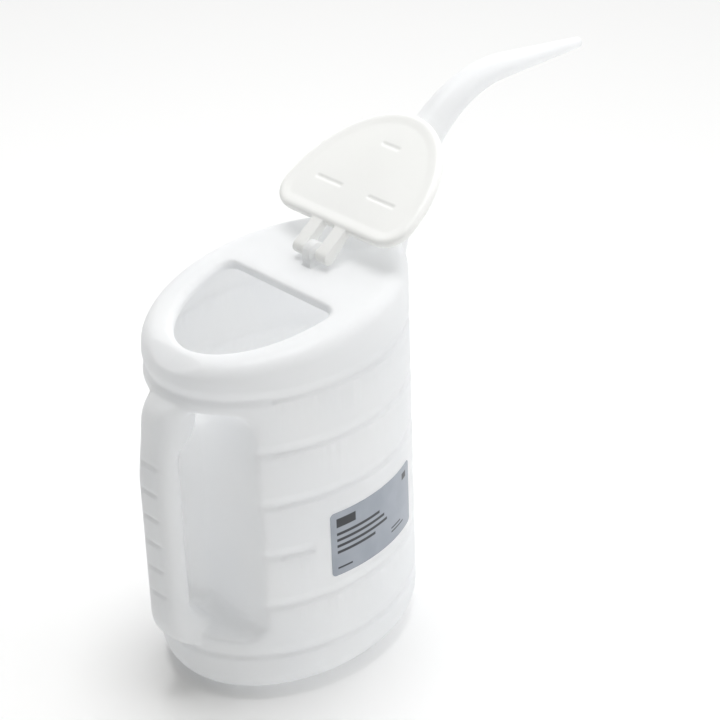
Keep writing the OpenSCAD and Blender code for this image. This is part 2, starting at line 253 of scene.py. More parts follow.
def rod(name: str, radius: float, width: float, centre: Point,
        facets: int = TUBE_FACETS) -> Piece:
    """Adds a cylinder along Y.

    Args:
        name: the piece's name.
        radius: its radius.
        width: its length along Y.
        centre: its middle.
        facets: the number of its sides.

    Returns:
        The new object.
    """
    nothing()
    bpy.ops.mesh.primitive_cylinder_add(vertices=facets, radius=radius, depth=width,
                                        location=centre, rotation=(math.pi / 2, 0, 0))
    return begin(name)


def remesh(piece: Piece, voxel: float, rounds: int) -> None:
    """Fuses overlapping solids into one skin and evens it out."""
    finish_modifier(piece, "REMESH", mode="VOXEL", voxel_size=voxel, adaptivity=0.0)
    finish_modifier(piece, "SMOOTH", factor=0.5, iterations=rounds)


def thin_out(piece: Piece, faces_kept: int) -> None:
    """Leaves about a number of triangles in a skin of squares."""
    ratio = min(1.0, faces_kept / (2 * len(piece.data.polygons)))
    finish_modifier(piece, "DECIMATE", ratio=ratio)


def hand_over(piece: Piece, matrix: Matrix, crease: float) -> Piece:
    """Brings a piece to metres and its place, shades it and reports it.

    Args:
        piece: the finished mesh, in millimetres.
        matrix: its place, in millimetres.
        crease: the angle past which an edge stays sharp, in degrees; 0 smooths every edge.

    Returns:
        The piece.
    """
    place(piece, Matrix.Scale(MM, 4) @ matrix)
    solo(piece)
    if crease:
        bpy.ops.object.shade_smooth_by_angle(angle=math.radians(crease))
    else:
        bpy.ops.object.shade_smooth()
    log.info("%s: %d faces", piece.name, len(piece.data.polygons))
    return piece


def join(pieces: Sequence[Piece]) -> Piece:
    """Joins meshes into the first one.

    Args:
        pieces: the objects to join.

    Returns:
        The first object, which now holds all the meshes.
    """
    solo(pieces[0])
    for other in pieces[1:]:
        other.select_set(True)
    bpy.ops.object.join()
    return pieces[0]


@dataclass(frozen=True)
class Ring:
    """One ring of a loft.

    Args:
        centre: the middle of the ring, in millimetres.
        wide: half its size along X before it leans.
        deep: half its size along Y.
        lean: its turn about Y, in degrees.
        slant: the slope it is sheared to along X, in degrees.
    """

    centre: Point
    wide: float
    deep: float
    lean: float = 0.0
    slant: float = 0.0


def turn_about_y(degrees: float, centre: Point) -> None:
    """Turns the selection about Y by the right-hand rule, as the operator turns the other way.

    Args:
        degrees: the turn.
        centre: the point it turns about.
    """
    if degrees:
        bpy.ops.transform.rotate(value=-math.radians(degrees), orient_axis="Y",
                                 orient_type="GLOBAL", center_override=centre)


def stretch(values: Point, centre: Point) -> None:
    """Scales the selection about a point."""
    bpy.ops.transform.resize(value=values, center_override=centre)


def slant_up(degrees: float, centre: Point) -> None:
    """Slants a level selection so that it rises towards +X, without narrowing it.

    Args:
        degrees: the slope.
        centre: the point that stays.
    """
    if degrees:
        turn_about_y(-degrees, centre)
        k = 1 / math.cos(math.radians(degrees))
        stretch((k, 1, k), centre)


def loft(name: str, rings: Sequence[Ring], facets: int,
         squared: tuple[float, float] = (0.0, 0.0)) -> Piece:
    """Models a closed solid by extruding a ring through a row of places.

    Args:
        name: the piece's name.
        rings: the rings, in order.
        facets: the number of points in each ring.
        squared: how far the first ring's halves are first moved apart along X and Y,
            as shares of its half sizes, which makes it a rounded rectangle.

    Returns:
        The new object.
    """
    nothing()
    bpy.ops.mesh.primitive_circle_add(vertices=facets, radius=1, fill_type="NGON")
    piece = begin(name)
    first = rings[0]
    with editing(piece):
        for axis, share in enumerate(squared):
            for sign in (-1, 1):
                if share and choose(Part.VERTICES, lambda p: p[axis] * sign > 1e-6):
                    move = [0.0, 0.0, 0.0]
                    move[axis] = sign * share
                    shift(move)
        everything()
        size = (first.wide / (1 + squared[0]), first.deep / (1 + squared[1]), 1)
        stretch(size, (0, 0, 0))
        shift(first.centre)
        turn_about_y(first.lean, first.centre)
        slant_up(first.slant, first.centre)
        for last, ring in zip(rings, rings[1:]):
            move = Vector(ring.centre) - Vector(last.centre)
            extrude(move)
            turn_about_y(-last.lean, ring.centre)
            if last.slant:
                stretch((1, 1, 0), ring.centre)
            stretch((ring.wide / last.wide, ring.deep / last.deep, 1), ring.centre)
            turn_about_y(ring.lean, ring.centre)
            slant_up(ring.slant, ring.centre)
        turn_out()
    return piece


def blunt_oval(name: str, middle: float, wide: float, deep: float, front: float,
               corner: float) -> Piece:
    """Models a flat oval that is cut straight in front, with two round corners beside the cut.

    Args:
        name: the piece's name.
        middle: the oval's middle along X.
        wide: half its length.
        deep: half its width.
        front: where it is cut.
        corner: the radius of the two corners.

    Returns:
        A flat object with one face.
    """
    nothing()
    bpy.ops.mesh.primitive_circle_add(vertices=OVAL_FACETS, radius=1, fill_type="NOTHING")
    piece = begin(name)
    cut = front - corner
    with editing(piece):
        everything()
        stretch((wide, deep, 1), (0, 0, 0))
        shift((middle, 0, 0))
        bpy.ops.mesh.bisect(plane_co=(cut, 0, 0), plane_no=(1, 0, 0), clear_outer=True)
        reach = deep * math.sqrt(1 - ((cut - middle) / wide) ** 2)
        for sign in (-1, 1):
            choose(Part.VERTICES, lambda p: p.x > cut - 0.01 and p.y * sign > 1)
            bpy.ops.mesh.spin(steps=12, angle=sign * math.pi / 2, axis=(0, 0, 1),
                              center=(cut, sign * (reach - corner), 0))
        everything()
        bpy.ops.mesh.remove_doubles(threshold=0.01)
        bpy.ops.mesh.edge_face_add()
    return piece


def smooth_step(a: float, b: float, x: float) -> float:
    """A smooth step from 0 at a to 1 at b."""
    t = min(1.0, max(0.0, (x - a) / (b - a)))
    return t * t * (3 - 2 * t)


# Finishes


@dataclass(frozen=True)
class Finish:
    """A moulded finish.

    Args:
        colour: the plain colour.
        shade: the colour of the slightly darker patches.
        roughness: the mean roughness.
        through: the share of the light that the wall lets through.
        grain: the height of the moulded skin's grain, in metres.
        seam: the height of the mould seam at Y = 0, in metres.
    """

    colour: Colour
    shade: Colour
    roughness: float
    through: float
    grain: float
    seam: float


NATURAL = Finish((0.982, 0.985, 0.988), (0.955, 0.96, 0.968), 0.36, 0.55, 0.00006, 0.00012)
LID_WHITE = Finish((0.99, 0.992, 0.984), (0.98, 0.983, 0.97), 0.33, 0.30, 0.00005, 0.0)
PLASTIC_IOR = 1.53
FILM_DARK = (0.32, 0.35, 0.40)
FILM_LIGHT = (0.38, 0.41, 0.46)
FILM_WRINKLE = 0.00012
INK = (0.045, 0.048, 0.055)


def new_group(name: str, inputs: dict[str, object], outputs: dict[str, str]) -> tuple:
    """Makes a shader node group with named sockets.

    Args:
        name: the group's name.
        inputs: each input's name with its plain value, a number or a colour.
        outputs: each output's name with its socket type.

    Returns:
        The group, its input node and its output node.
    """
    group = bpy.data.node_groups.new(name, "ShaderNodeTree")
    for key, value in inputs.items():
        number = isinstance(value, (int, float))
        socket = group.interface.new_socket(
            key, in_out="INPUT", socket_type="NodeSocketFloat" if number else "NodeSocketColor")
        socket.default_value = value if number else (*value, 1.0)
    for key, kind in outputs.items():
        group.interface.new_socket(key, in_out="OUTPUT", socket_type=kind)
    return group, group.nodes.new("NodeGroupInput"), group.nodes.new("NodeGroupOutput")


class NodeBench:
    """Adds nodes to a tree and links them, with few words."""

    def __init__(self, tree: bpy.types.NodeTree) -> None:
        """Keeps the tree."""
        self.tree = tree

    def add(self, kind: str, **settings: object) -> bpy.types.Node:
        """Adds a node and sets its own properties.

        Args:
            kind: the node's type.
            settings: property names with values.

        Returns:
            The node.
        """
        node = self.tree.nodes.new(kind)
        for key, value in settings.items():
            setattr(node, key, value)
        return node

    def link(self, source: Socket, target: Socket) -> None:
        """Links one socket to another."""
        self.tree.links.new(source, target)

    def put(self, node: bpy.types.Node, values: dict[object, object]) -> None:
        """Sets a node's inputs to numbers or colours, or links sockets to them.

        Args:
            node: the node.
            values: each input's name or number with its value.
        """
        for key, value in values.items():
            slot = node.inputs[key]
            if isinstance(value, (int, float)):
                slot.default_value = value
            elif isinstance(value, tuple):
                slot.default_value = (*value, 1.0)
            else:
                self.link(value, slot)

    def spot(self) -> Socket:
        """Adds the place on the object, which every pattern reads."""
        return self.add("ShaderNodeTexCoord").outputs["Object"]

    def split(self, vector: Socket) -> bpy.types.bpy_prop_collection:
        """Splits a vector and returns its three value sockets.

        Args:
            vector: the vector's socket.

        Returns:
            The sockets, by the names X, Y and Z.
        """
        node = self.add("ShaderNodeSeparateXYZ")
        self.link(vector, node.inputs["Vector"])
        return node.outputs

    def bump(self, height: Socket, strength: float) -> Socket:
        """Turns a height in metres into a normal.

        Args:
            height: the height's socket.
            strength: how much of it shows.

        Returns:
            The normal's socket.
        """
        node = self.add("ShaderNodeBump")
        self.put(node, {"Distance": 1.0, "Strength": strength, "Height": height})
        return node.outputs["Normal"]

    def noise(self, place_socket: Socket, scale: float, detail: float,
              rough: float = 0.5) -> Socket:
        """Adds a noise texture and returns its value socket.

        Args:
            place_socket: where it is read.
            scale: how fine it is.
            detail: the number of its finer layers.
            rough: the share of each layer.

        Returns:
            The value's socket.
        """
        node = self.add("ShaderNodeTexNoise")
        self.put(node, {"Scale": scale, "Detail": detail, "Roughness": rough,
                        "Vector": place_socket})
        return node.outputs["Fac"]

    def ramp(self, value: Socket, low: float, high: float,
             to_low: float = 0.0, to_high: float = 1.0) -> Socket:
        """Adds a smooth range mapping and returns its result socket.

        Args:
            value: the socket to map.
            low: the value that gives to_low.
            high: the value that gives to_high.
            to_low: the result at low.
            to_high: the result at high.

        Returns:
            The result's socket.
        """
        node = self.add("ShaderNodeMapRange", interpolation_type="SMOOTHSTEP")
        self.put(node, {"From Min": low, "From Max": high, "To Min": to_low, "To Max": to_high,
                        "Value": value})
        return node.outputs["Result"]

    def maths(self, operation: str, *values: object) -> Socket:
        """Adds a maths node on sockets or numbers and returns its value socket.

        Args:
            operation: the node's operation.
            values: its inputs, in order.

        Returns:
            The value's socket.
        """
        node = self.add("ShaderNodeMath", operation=operation)
        self.put(node, dict(enumerate(values)))
        return node.outputs["Value"]

    def mix(self, share: object, first: object, second: object) -> Socket:
        """Mixes two colours by a share and returns the result socket.

        Args:
            share: the share of the second colour.
            first: the first colour.
            second: the second colour.

        Returns:
            The colour's socket.
        """
        node = self.add("ShaderNodeMix", data_type="RGBA")
        self.put(node, {0: share, 6: first, 7: second})
        return node.outputs[2]


def new_material(name: str) -> tuple[Material, NodeBench, bpy.types.Node]:
    """Makes a material with nodes.

    Args:
        name: the material's name.

    Returns:
        The material, a bench on its nodes and its Principled shader.
    """
    material = bpy.data.materials.new(name)
    material.use_nodes = True
    bench = NodeBench(material.node_tree)
    return material, bench, material.node_tree.nodes["Principled BSDF"]


def moulded_skin_group() -> bpy.types.NodeTree:
    """Builds the effect that all the moulded plastic shares.

    Returns:
        A group that puts out a colour, a roughness and a height that vary over the surface:
        cloudy patches from the thickness of the wall, faint scuffs, and a fine moulded grain.
    """
    group, given, out = new_group(
        "moulded_skin",
        {"Colour": (1.0, 1.0, 1.0), "Shade": (0.9, 0.9, 0.9), "Roughness": 0.4,
         "Grain": 0.00005, "Seam": 0.0},
        {"Colour": "NodeSocketColor", "Roughness": "NodeSocketFloat",
         "Height": "NodeSocketFloat"})
    bench = NodeBench(group)
    spot = bench.spot()
    clouds = bench.ramp(bench.noise(spot, 14.0, 2.0), 0.35, 0.75)
    fine = bench.noise(spot, 900.0, 2.0)
    ripple = bench.noise(spot, 60.0, 2.0)
    stretched = bench.add("ShaderNodeMapping")
    stretched.inputs["Scale"].default_value = (60.0, 60.0, 9.0)
    stretched.inputs["Rotation"].default_value = (0.3, 0.2, 0.0)
    bench.link(spot, stretched.inputs["Vector"])
    scuff = bench.ramp(bench.noise(stretched.outputs["Vector"], 1.0, 6.0, 0.7), 0.60, 0.78)
    tint = bench.maths("MULTIPLY", clouds, 0.7)
    colour = bench.mix(tint, given.outputs["Colour"], given.outputs["Shade"])
    rough = bench.maths("MULTIPLY_ADD", bench.maths("SUBTRACT", ripple, 0.5), 0.16,
                        given.outputs["Roughness"])
    rough = bench.maths("MULTIPLY_ADD", scuff, 0.10, rough)
    off_seam = bench.maths("ABSOLUTE", bench.split(spot)["Y"])
    ridge = bench.ramp(off_seam, 0.0, 0.0006, 1.0, 0.0)
    grain_height = bench.maths("MULTIPLY", fine, given.outputs["Grain"])
    ripple_height = bench.maths("MULTIPLY", ripple, bench.maths(
        "MULTIPLY", given.outputs["Grain"], 3.0))
    seam_height = bench.maths("MULTIPLY", ridge, given.outputs["Seam"])
    height = bench.maths("ADD", bench.maths("ADD", grain_height, ripple_height), seam_height)
    bench.put(out, {"Colour": colour, "Roughness": rough, "Height": height})
    return group


class Paint:
    """Builds each finish once."""

    def __init__(self) -> None:
        """Builds the shared group and the three finishes."""
        self.skin = moulded_skin_group()
        self.natural = self.moulded("natural_plastic", NATURAL)
        self.lid_white = self.moulded("lid_plastic", LID_WHITE)
        self.film = self.label_film()

    def moulded(self, name: str, finish: Finish) -> Material:
        """Builds a moulded plastic that lets some light through.

        Args:
            name: the material's name.
            finish: its values.

        Returns:
            The material.
        """
        material, bench, shader = new_material(name)
        skin = bench.add("ShaderNodeGroup", node_tree=self.skin)
        bench.put(skin, {"Colour": finish.colour, "Shade": finish.shade,
                         "Roughness": finish.roughness, "Grain": finish.grain,
                         "Seam": finish.seam})
        colour = skin.outputs["Colour"]
        normal = bench.bump(skin.outputs["Height"], 0.6)
        bench.put(shader, {"Base Color": colour, "Roughness": skin.outputs["Roughness"],
                           "Normal": normal, "IOR": PLASTIC_IOR})
        glow = bench.add("ShaderNodeBsdfTranslucent")
        bench.put(glow, {"Color": colour, "Normal": normal})
        both = bench.add("ShaderNodeMixShader")
        bench.put(both, {"Fac": finish.through, 1: shader.outputs["BSDF"],
                         2: glow.outputs["BSDF"]})
        surface = material.node_tree.nodes["Material Output"]
        bench.put(surface, {"Surface": both.outputs["Shader"]})
        return material

    def label_film(self) -> Material:
        """Builds the silver-grey film of the label, with plain bars in place of printing.

        Returns:
            The material.
        """
        material, bench, shader = new_material("label_film")
        spot = bench.spot()
        parts = bench.split(spot)
        mottle = bench.noise(spot, 45.0, 3.0)
        film = bench.mix(bench.ramp(mottle, 0.3, 0.7), FILM_DARK, FILM_LIGHT)
        ink = None
        for bar in LABEL_BARS:
            mask = bar.mask(bench, parts["X"], parts["Z"])
            ink = mask if ink is None else bench.maths("MAXIMUM", ink, mask)
        wrinkle = bench.maths("MULTIPLY", bench.noise(spot, 90.0, 3.0), FILM_WRINKLE)
        bench.put(shader, {"Base Color": bench.mix(ink, film, INK),
                           "Roughness": bench.ramp(mottle, 0.2, 0.8, 0.30, 0.42),
                           "Normal": bench.bump(wrinkle, 0.5), "Metallic": 0.25})
        return material


@dataclass(frozen=True)
class Bar:
    """A plain bar printed on the label.

    Args:
        left: its rear edge, in millimetres in front of the body's middle.
        right: its front edge.
        low: its lower edge above the ground.
        high: its upper edge.
    """

    left: float
    right: float
    low: float
    high: float

    def mask(self, bench: NodeBench, x: Socket,
             z: Socket) -> Socket:
        """Adds a soft-edged mask of the bar and returns its socket.

        Args:
            bench: the bench that adds the nodes.
            x: the place along X.
            z: the place along Z.

        Returns:
            The mask's socket.
        """
        soft = 0.3 * MM
        inside = None
        for socket, near, far in ((x, self.left * MM, self.right * MM),
                                  (z, self.low * MM, self.high * MM)):
            rising = bench.ramp(socket, near - soft, near + soft)
            falling = bench.ramp(socket, far - soft, far + soft, 1.0, 0.0)
            both = bench.maths("MULTIPLY", rising, falling)
            inside = both if inside is None else bench.maths("MULTIPLY", inside, both)
        return inside


LABEL_BARS = (
    Bar(-22.0, -6.0, 127.0, 134.0),
    Bar(-22.0, 17.0, 120.6, 122.8),
    Bar(-22.0, 22.0, 115.8, 118.0),
    Bar(-22.0, 25.0, 111.0, 113.2),
    Bar(-22.0, 12.0, 106.2, 108.4),
    Bar(-22.0, -10.0, 94.0, 95.4),
    Bar(30.0, 46.0, 96.5, 97.7),
    Bar(30.0, 42.0, 99.5, 100.7),
    Bar(46.0, 52.0, 129.0, 134.0),
)


# The can

# Heights of a groove's rings above its middle, in millimetres.
GROOVE_STEPS = (-2.2, -1.8, -1.4, -1.0, -0.6, -0.1, 0.5, 1.8, 3.2, 4.6, 6.0, 7.5, 9.0)


@dataclass
class CanShell:
    """The can, its handle and its spout: one blow-moulded shell, in millimetres."""

    half_length: float = 99.0
    half_width: float = 76.5
    top_height: float = 272.0
    top_slope: float = 8.3
    draft: float = 0.5
    wall: float = 1.7
    base_radius: float = 24.0
    base_steps: int = 8
    shoulder_radius: float = 11.0
    shoulder_steps: int = 6
    groove_first: float = 35.5
    groove_pitch: float = 40.0
    groove_count: int = 6
    groove_depth: float = 2.3
    groove_run: float = 9.0
    groove_lip: float = 2.2
    label_groove: int = 2
    panel_back: float = -35.5
    panel_front: float = 64.5
    panel_edge: float = 7.0
    side_start: float = -66.0
    side_fade: float = 8.0
    side_reach: float = 0.03
    opening_back: float = 78.5
    opening_half: float = 51.0
    opening_front: float = 5.3
    opening_corner: float = 9.0
    lip_drop: float = 3.0
    lip_past: float = 2.0
    well_depth: float = 12.0
    well_cut: float = 3.0
    well_past: float = 2.0
    well_search: float = 20.0
    well_below: float = 0.5
    facet_start: float = 15.5
    facet_angle: float = 32.0
    hole_wall: float = 71.7
    hole_floor: float = 57.0
    hole_ceiling: float = 206.0
    hole_corner: float = 12.0
    wall_draft: float = 4.5
    floor_drop: float = 8.0
    ceiling_rise: float = 22.0
    steep_side: float = 16.0
    steep_share: float = 0.88
    hole_outside: float = 91.5
    hole_far: float = 160.0
    handle_side: float = -100.0
    handle_front: float = -97.2
    handle_back: float = -117.7
    handle_half: float = 14.5
    handle_corner: float = 10.0
    handle_lean: float = 6.4
    lean_start: float = 64.0
    lean_end: float = 10.0
    handle_sink: float = 8.0
    spread_run: float = 14.0
    spread_past: float = 4.0
    handle_top: float = 231.9
    handle_top_run: float = 18.0
    handle_foot: float = 37.5
    handle_foot_run: float = 30.0
    curl_steps: int = 10
    grip_low: float = 72.0
    grip_step: float = 4.0
    grip_rings: int = 34
    ring_gap: float = 0.25
    handle_root: float = 16.0
    handle_flare: float = 3.0
    notch_first: float = 87.0
    notch_pitch: float = 20.2
    notch_count: int = 6
    notch_depth: float = 1.5
    notch_radius: float = 2.6
    notch_width: float = 60.0
    notch_facets: int = 32
    root_x: float = 85.0
    root_z: float = 274.0
    neck_angle: float = 46.0
    root_tilt: float = 20.0
    neck_length: float = 79.2
    bend_radius: float = 97.0
    nose_droop: float = 5.2
    nose_length: float = 81.0
    root_radius: float = 27.0
    root_foot: float = 8.0
    root_spread: float = 1.5
    neck_steps: int = 14
    bend_steps: int = 16
    tip_past: float = 1.05
    neck_radius: float = 12.5
    bend_end_radius: float = 9.0
    tip_radius: float = 4.0
    rim_reach: float = 10.0
    rim_start: float = 20.0
    rim_rounds: int = 24
    voxel: float = 1.2
    smooth_rounds: int = 5
    inside_rounds: int = 8
    faces_kept: int = 88000
    crease: float = 75.0

    def top_z(self, x: float) -> float:
        """Height of the slanted top at a distance in front of the middle."""
        return self.top_height + x * math.tan(math.radians(self.top_slope))

    def draft_at(self, z: float) -> float:
        """How much the side stands out at a height."""
        return math.tan(math.radians(self.draft)) * (self.top_height / 2 - z)

    def groove_profile(self, step: float) -> float:
        """Share of the groove's depth at a height above its middle.

        Args:
            step: the height above the groove's middle.

        Returns:
            The share, from 0 to 1.
        """
        if step < 0:
            return smooth_step(-self.groove_lip, -0.2, step)
        return 1 - smooth_step(0.2, self.groove_run, step)

    def oval(self, z: float, inset: float, slant: float = 0.0) -> Ring:
        """A ring of the oval body at a height, with an inset from its side."""
        edge = inset - self.draft_at(z)
        return Ring((0, 0, z), self.half_length - edge, self.half_width - edge, slant=slant)

    def body(self) -> Piece:
        """Models the closed oval body with its six grooves and its slanted top.

        Returns:
            The body as a solid.
        """
        rings = []
        for k in range(self.base_steps + 1):
            a = math.radians(90 * k / self.base_steps)
            rings.append(self.oval(self.base_radius * (1 - math.cos(a)),
                                   self.base_radius * (1 - math.sin(a))))
        for g in range(self.groove_count):
            middle = self.groove_first + g * self.groove_pitch
            for step in GROOVE_STEPS:
                rings.append(self.oval(middle + step,
                                       self.groove_depth * self.groove_profile(step)))
        r = self.shoulder_radius
        for k in range(self.shoulder_steps + 1):
            a = math.radians(90 * k / self.shoulder_steps)
            rings.append(self.oval(self.top_height - r * (1 - math.sin(a)),
                                   r * (1 - math.cos(a)), slant=self.top_slope))
        body = loft("can_shell", rings, OVAL_FACETS)
        self.smooth_label_panel(body)
        return body

    def smooth_label_panel(self, body: Piece) -> None:
        """Fills the groove where the smooth panel behind the label crosses it.

        Args:
            body: the oval body.
        """
        middle = self.groove_first + self.label_groove * self.groove_pitch
        for v in body.data.vertices:
            step = v.co.z - middle
            if -self.groove_lip < step < self.groove_run:
                out = self.groove_depth * self.groove_profile(step) * self.panel_share(v.co.x)
                v.co.x += out * v.co.x / self.half_length
                v.co.y += out * v.co.y / self.half_width

    def panel_share(self, x: float) -> float:
        """How much a place belongs to the smooth panel, from 0 to 1.

        Args:
            x: the distance in front of the middle.

        Returns:
            The share, from 0 to 1.
        """
        edge = self.panel_edge
        return (smooth_step(self.panel_back - edge, self.panel_back, x)
                * (1 - smooth_step(self.panel_front, self.panel_front + edge, x)))

    def hole_spread(self, y: float) -> float:
        """How far the hand hole has opened at a distance from the parting plane, from 0 to 1.

        Args:
            y: the distance.

        Returns:
            The share of the full opening.
        """
        if y <= self.steep_side:
            return self.steep_share * y / self.steep_side
        rest = (y - self.steep_side) / (self.hole_outside - self.steep_side)
        return self.steep_share + (1 - self.steep_share) * rest

    def cut_hand_hole(self, body: Piece) -> None:
        """Cuts the hand hole, which opens out from the parting plane to both sides.

        Args:
            body: the oval body.
        """
        nothing()
        bpy.ops.mesh.primitive_cube_add(size=1)
        cutter = begin("hand_hole")
        far = -self.hole_far
        with editing(cutter):
            everything()
            stretch((-self.hole_wall - far, 2 * self.hole_outside,
                     self.hole_ceiling - self.hole_floor), (0, 0, 0))
            middle = (self.hole_ceiling + self.hole_floor) / 2
            shift(((far - self.hole_wall) / 2, 0, middle))
            outside = self.hole_outside
            for y in (-self.steep_side, 0.0, self.steep_side):
                everything()
                bpy.ops.mesh.bisect(plane_co=(0, y, 0), plane_no=(0, 1, 0))
            for y in (self.steep_side, outside):
                spread = self.hole_spread(y)
                choose(Part.VERTICES, lambda p: abs(abs(p.y) - y) < 1 and p.x > self.handle_side)
                shift((self.wall_draft * y / outside, 0, 0))
                choose(Part.VERTICES, lambda p: abs(abs(p.y) - y) < 1 and p.z < middle)
                shift((0, 0, -self.floor_drop * spread))
                choose(Part.VERTICES, lambda p: abs(abs(p.y) - y) < 1 and p.z > middle)
                shift((0, 0, self.ceiling_rise * spread))
            choose(Part.EDGES, lambda m, d: abs(d.y) > 0.5 and m.x > self.handle_side)
            bevel(self.hole_corner, 6)
            turn_out()
        cut_away(body, cutter)

    def cut_thumb_facet(self, body: Piece) -> None:
        """Slices the shoulder off at the handle end, for the thumb that lifts the lid.

        Args:
            body: the oval body.
        """
        a = math.radians(self.facet_angle)
        x = self.facet_start - self.half_length
        with editing(body):
            everything()
            bpy.ops.mesh.bisect(plane_co=(x, 0, self.top_z(x)),
                                plane_no=(-math.sin(a), 0, math.cos(a)),
                                use_fill=True, clear_outer=True)

    def on_top(self) -> Matrix:
        """The frame of the slanted top, with Z square to it."""
        return (Matrix.Translation((0, 0, self.top_height))
                @ Matrix.Rotation(-math.radians(self.top_slope), 4, "Y"))

    def sink_opening(self, body: Piece) -> None:
        """Sinks the filling opening below its sloping lip, with its floor still closed.

        Args:
            body: the oval body.
        """
        cutter = blunt_oval("opening", 0.0, self.opening_back, self.opening_half,
                            self.opening_front, self.opening_corner)
        half = (self.opening_front + self.opening_back) / 2
        flare = self.lip_drop + self.lip_past
        with editing(cutter):
            everything()
            shift((0, 0, -self.well_depth))
            extrude((0, 0, self.well_depth - self.lip_drop))
            extrude((0, 0, flare))
            stretch((1 + flare / (2 * half), (self.opening_half + flare) / self.opening_half, 1),
                    (self.opening_front, 0, 0))
            turn_out()
        place(cutter, self.on_top())
        cut_away(body, cutter)

    def back_curl(self, z: float) -> float:
        """How far the handle's back has moved in towards the oval at a height, from 0 to 1.

        Args:
            z: the height.

        Returns:
            The share of the way.
        """
        upper = (z - self.handle_top + self.handle_top_run) / self.handle_top_run
        lower = (self.handle_foot + self.handle_foot_run - z) / self.handle_foot_run
        t = max(upper, lower)
        return 1 - math.sqrt(max(0.0, 1 - t * t)) if t > 0 else 0.0

    def lean_at(self, z: float) -> float:
        """How far the handle's back leans towards the oval at a height."""
        return self.handle_lean * smooth_step(self.handle_top - self.lean_start,
                                              self.handle_top - self.lean_end, z)

    def handle_ring(self, z: float) -> Ring:
        """A ring of the handle at a height.

        Args:
            z: the height.

        Returns:
            The ring.
        """
        run, past = self.spread_run, self.spread_past
        spread = max(1 - smooth_step(self.hole_floor - past, self.hole_floor + run, z),
                     smooth_step(self.hole_ceiling - run, self.hole_ceiling + past, z))
        lean = self.lean_at(z)
        travel = -self.half_length + self.handle_sink - self.handle_back
        back = self.handle_back + lean + (travel - lean) * self.back_curl(z)
        front = self.handle_front + self.handle_root * spread
        return Ring(((back + front) / 2, 0, z), (front - back) / 2,
                    self.handle_half + self.handle_flare * spread)

    def handle(self) -> Piece:
        """Models the upright handle with its six grip notches.

        Returns:
            The handle as a solid that runs into the body at both ends.
        """
        low, high = self.handle_foot, self.handle_top
        turns = [math.radians(90 * k / self.curl_steps) for k in range(self.curl_steps + 1)]
        heights = [low + self.handle_foot_run * (1 - math.cos(a)) for a in turns]
        heights += [self.grip_low + self.grip_step * k for k in range(self.grip_rings)]
        heights += [high - self.handle_top_run * (1 - math.sin(a)) for a in turns]
        wanted = sorted(set(round(h, 3) for h in heights))
        rings = [self.handle_ring(wanted[0])]
        for z in wanted[1:]:
            if z - rings[-1].centre[2] > self.ring_gap:
                rings.append(self.handle_ring(z))
        half_x = (self.handle_front - self.handle_back) / 2
        squared = (half_x / self.handle_corner - 1, self.handle_half / self.handle_corner - 1)
        handle = loft("handle", rings, TUBE_FACETS, squared)
        for k in range(self.notch_count):
            self.cut_notch(handle, self.notch_first + k * self.notch_pitch)
        return handle

    def cut_notch(self, handle: Piece, z: float) -> None:
        """Cuts one straight grip notch across the handle's back.

        Args:
            handle: the handle.
            z: the notch's height.
        """
        middle = self.handle_back + self.lean_at(z) + self.notch_depth - self.notch_radius
        cut_away(handle, rod("notch", self.notch_radius, self.notch_width, (middle, 0, z),
                             self.notch_facets))

    def spout_rings(self) -> list[Ring]:
        """The spout's rings: a flared root, a rising neck, a bend and a drooping nose.

        Returns:
            The rings from the root to just past the tip.
        """
        rise = math.radians(self.neck_angle)
        droop = math.radians(self.nose_droop)
        rings = []

        def add(x: float, z: float, angle: float, radius: float) -> None:
            """Adds a ring square to a direction."""
            rings.append(Ring((x, 0, z), radius, radius, lean=90 - angle))

        foot = math.radians(self.neck_angle + self.root_tilt)
        add(self.root_x - self.root_foot * math.cos(foot),
            self.root_z - self.root_foot * math.sin(foot),
            self.neck_angle + self.root_tilt, self.root_radius + self.root_spread)
        for k in range(self.neck_steps):
            t = k / self.neck_steps
            add(self.root_x + self.neck_length * t * math.cos(rise),
                self.root_z + self.neck_length * t * math.sin(rise),
                self.neck_angle + self.root_tilt * (1 - t) ** 2,
                self.neck_radius + (self.root_radius - self.neck_radius) * (1 - t) ** 1.5)
        bend_x = self.root_x + self.neck_length * math.cos(rise) + self.bend_radius * math.sin(rise)
        bend_z = self.root_z + self.neck_length * math.sin(rise) - self.bend_radius * math.cos(rise)
        for k in range(self.bend_steps + 1):
            t = k / self.bend_steps
            a = rise - (rise + droop) * t
            add(bend_x - self.bend_radius * math.sin(a), bend_z + self.bend_radius * math.cos(a),
                math.degrees(a), self.neck_radius + (self.bend_end_radius - self.neck_radius) * t)
        nose_x = bend_x + self.bend_radius * math.sin(droop)
        nose_z = bend_z + self.bend_radius * math.cos(droop)
        for reach in (0.25, 0.5, 0.75, 1.0, self.tip_past):
            run = self.nose_length * reach
            add(nose_x + run * math.cos(droop), nose_z - run * math.sin(droop), -self.nose_droop,
                self.bend_end_radius + (self.tip_radius - self.bend_end_radius) * min(reach, 1.0))
        return rings

